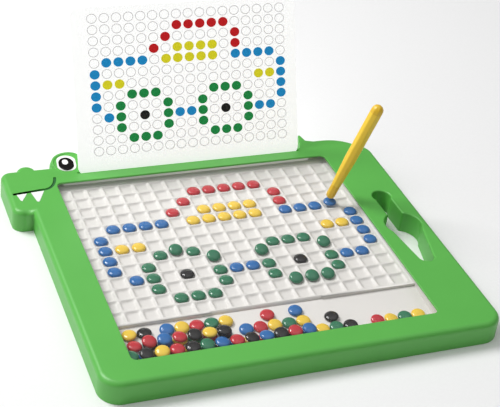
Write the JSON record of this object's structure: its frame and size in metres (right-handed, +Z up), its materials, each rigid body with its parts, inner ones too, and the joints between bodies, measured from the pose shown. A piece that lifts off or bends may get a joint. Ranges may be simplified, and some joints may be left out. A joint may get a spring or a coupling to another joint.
{
  "type": "magnetic bead drawing board",
  "caption": "Crocodile-shaped magnetic bead drawing board: green frame with a handle, clear window over a grid of wells, coloured beads, bead tray, pattern card and magnetic pen.",
  "frame": {"origin": "under the middle of the eighteen columns of wells and about the middle of the window, on the flat underside that the board rests on", "axes": "+X to the right along the rows of wells, +Y away from the user towards the card, +Z up out of the window"},
  "size_m": [0.3055, 0.2886, 0.1341],
  "materials": {
    "green_abs": "moulded green ABS, satin gloss",
    "white_abs": "moulded white ABS, soft satin",
    "clear_sheet": "clear polystyrene sheet, polished",
    "eye_white": "glossy white plastic",
    "eye_black": "glossy black plastic",
    "tooth_white": "glossy white plastic",
    "card_print": "coated white card, printed with coloured dots",
    "pen_yellow": "moulded yellow plastic",
    "bead_red": "glossy red plastic",
    "bead_yellow": "glossy yellow plastic",
    "bead_blue": "glossy blue plastic",
    "bead_green": "glossy green plastic",
    "bead_black": "glossy black plastic",
    "steel": "plated steel",
    "magnet": "nickel-plated magnet"
  },
  "bodies": {
    "board": {"top_frame": "green_abs", "back_cover": "white_abs", "cover_screws": "steel", "clear_window": "clear_sheet", "cell_board": "white_abs", "bead_tray": "white_abs", "eye_white": "eye_white", "eye_pupil": "eye_black", "eye_glint": "eye_white", "front_tooth": "tooth_white", "rear_tooth": "tooth_white"},
    "card": {"pattern_card": "card_print"},
    "magnet_bead": {"dragged_bead": "bead_blue", "dragged_bead_disc": "steel"},
    "pen": {"pen_barrel": "pen_yellow", "pen_tip": "pen_yellow", "pen_magnet": "magnet", "pen_end_cap": "pen_yellow"},
    "red_picture": {"red_beads": "bead_red", "red_bead_discs": "steel"},
    "yellow_picture": {"yellow_beads": "bead_yellow", "yellow_bead_discs": "steel"},
    "blue_picture": {"blue_beads": "bead_blue", "blue_bead_discs": "steel"},
    "green_picture": {"green_beads": "bead_green", "green_bead_discs": "steel"},
    "black_picture": {"black_beads": "bead_black", "black_bead_discs": "steel"},
    "leaning_group": {"leaning_green_beads": "bead_green", "leaning_bead_discs": "steel"},
    "tray_heap": {"tray_red_beads": "bead_red", "tray_yellow_beads": "bead_yellow", "tray_blue_beads": "bead_blue", "tray_green_beads": "bead_green", "tray_black_beads": "bead_black", "tray_bead_discs": "steel"}
  },
  "joints": [
    {"name": "card_lift", "type": "slide", "parent": "board", "child": "card", "axis": [0, 0.3843, 0.9232], "range_m": [0, 0.04]},
    {"name": "bead_drag", "type": "slide", "parent": "board", "child": "magnet_bead", "axis": [0, 1, 0], "range_m": [-0.0125, 0.05]},
    {"name": "pen_lift", "type": "slide", "parent": "magnet_bead", "child": "pen", "axis": [0.285, -0.085, 0.9548], "range_m": [0, 0.06]},
    {"name": "red_bead_lift", "type": "slide", "parent": "board", "child": "red_picture", "axis": [0, 0, 1], "range_m": [0, 0.0021]},
    {"name": "yellow_bead_lift", "type": "slide", "parent": "board", "child": "yellow_picture", "axis": [0, 0, 1], "range_m": [0, 0.0021]},
    {"name": "blue_bead_lift", "type": "slide", "parent": "board", "child": "blue_picture", "axis": [0, 0, 1], "range_m": [0, 0.0021]},
    {"name": "green_bead_lift", "type": "slide", "parent": "board", "child": "green_picture", "axis": [0, 0, 1], "range_m": [0, 0.0021]},
    {"name": "black_bead_lift", "type": "slide", "parent": "board", "child": "black_picture", "axis": [0, 0, 1], "range_m": [0, 0.0021]},
    {"name": "leaning_bead_slide", "type": "slide", "parent": "board", "child": "leaning_group", "axis": [0, -1, 0], "range_m": [0, 0.0034]},
    {"name": "tray_heap_slide", "type": "slide", "parent": "board", "child": "tray_heap", "axis": [0, 0.9947, 0.1024], "range_m": [0, 0.0025]}
  ]
}
